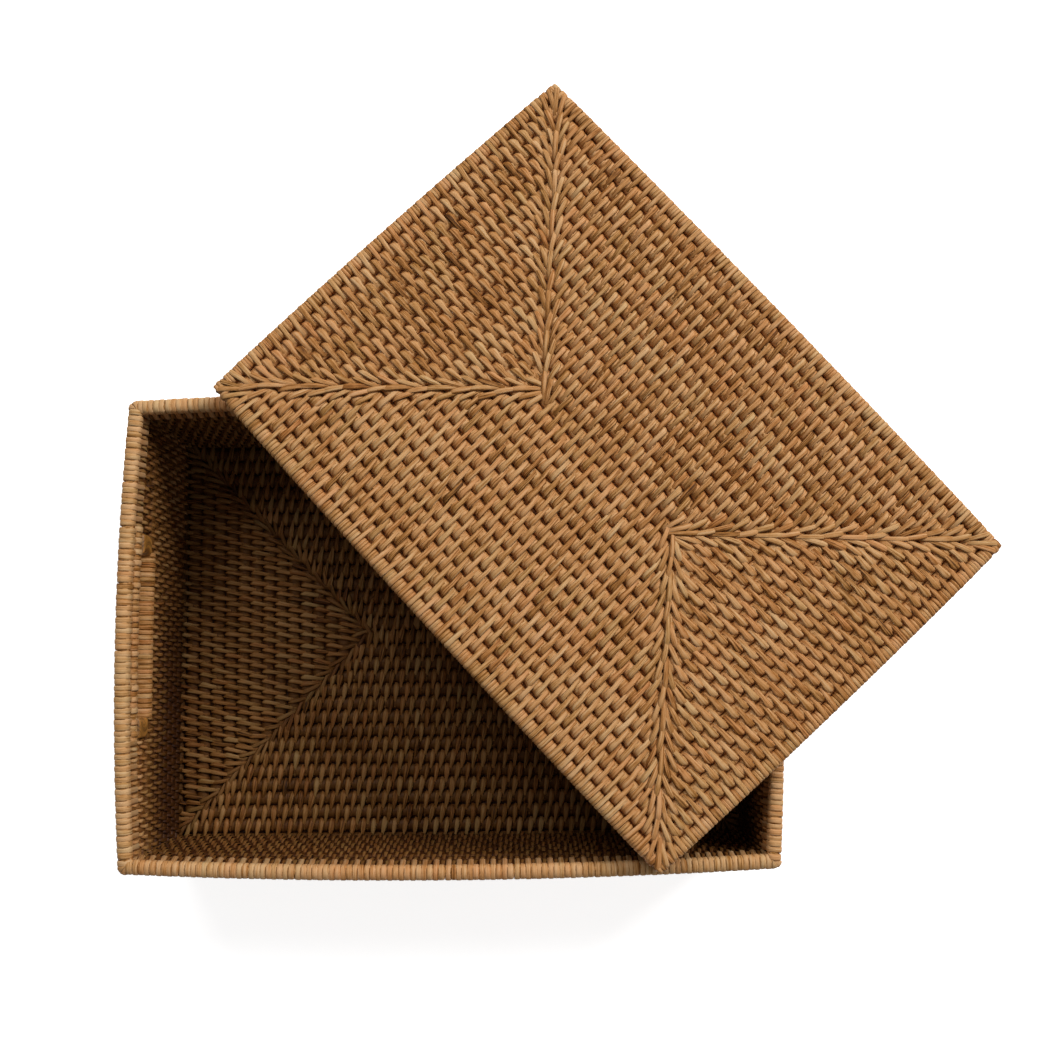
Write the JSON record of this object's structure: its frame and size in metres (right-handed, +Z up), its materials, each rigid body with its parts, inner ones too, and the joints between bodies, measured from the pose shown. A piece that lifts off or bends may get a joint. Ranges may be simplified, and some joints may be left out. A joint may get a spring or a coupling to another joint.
{
  "type": "woven lidded box",
  "caption": "Rectangular coiled-rattan box for papers, with handle slots in its short walls and a flat loose lid with a locating lip, laid askew across the rim.",
  "frame": {"origin": "middle of the box's underside, on the base's start rod", "axes": "+X along the box's long side, +Y along its short side towards the back, +Z up out of the box"},
  "size_m": [0.4718, 0.4292, 0.1209],
  "materials": {
    "base_rattan": "natural rattan, satin",
    "wall_rattan": "natural rattan, satin",
    "rim_rattan": "closely bound rattan, satin",
    "plug_rattan": "bare smoothed rattan",
    "lid_rattan": "natural rattan, satin",
    "border_rattan": "closely bound rattan, satin",
    "lip_rattan": "closely bound rattan, satin"
  },
  "bodies": {
    "box": {"base_start_rod": "base_rattan", "base_course_01": "base_rattan", "base_course_02": "base_rattan", "base_course_03": "base_rattan", "base_course_04": "base_rattan", "base_course_05": "base_rattan", "base_course_06": "base_rattan", "base_course_07": "base_rattan", "base_course_08": "base_rattan", "base_course_09": "base_rattan", "base_course_10": "base_rattan", "base_course_11": "base_rattan", "base_course_12": "base_rattan", "base_course_13": "base_rattan", "base_course_14": "base_rattan", "base_foot_course": "base_rattan", "wall_course_01": "wall_rattan", "wall_course_02": "wall_rattan", "wall_course_03": "wall_rattan", "wall_course_04": "wall_rattan", "wall_course_05": "wall_rattan", "wall_course_06": "wall_rattan", "wall_course_07": "wall_rattan", "wall_course_08": "wall_rattan", "wall_course_09_front": "wall_rattan", "wall_course_09_back": "wall_rattan", "wall_course_10_front": "wall_rattan", "wall_course_10_back": "wall_rattan", "wall_course_11": "wall_rattan", "rim_course": "rim_rattan", "handle_plug_left_front": "plug_rattan", "handle_plug_left_back": "plug_rattan", "handle_plug_right_front": "plug_rattan", "handle_plug_right_back": "plug_rattan"},
    "lid": {"lid_start_rod": "lid_rattan", "lid_course_01": "lid_rattan", "lid_course_02": "lid_rattan", "lid_course_03": "lid_rattan", "lid_course_04": "lid_rattan", "lid_course_05": "lid_rattan", "lid_course_06": "lid_rattan", "lid_course_07": "lid_rattan", "lid_course_08": "lid_rattan", "lid_course_09": "lid_rattan", "lid_course_10": "lid_rattan", "lid_course_11": "lid_rattan", "lid_course_12": "lid_rattan", "lid_course_13": "lid_rattan", "lid_course_14": "lid_rattan", "lid_border_course": "border_rattan", "lid_lip_course": "lip_rattan"}
  },
  "joints": [
    {"name": "lid_lift", "type": "slide", "parent": "box", "child": "lid", "axis": [0, 0, 1], "range_m": [0, 0.15]}
  ]
}
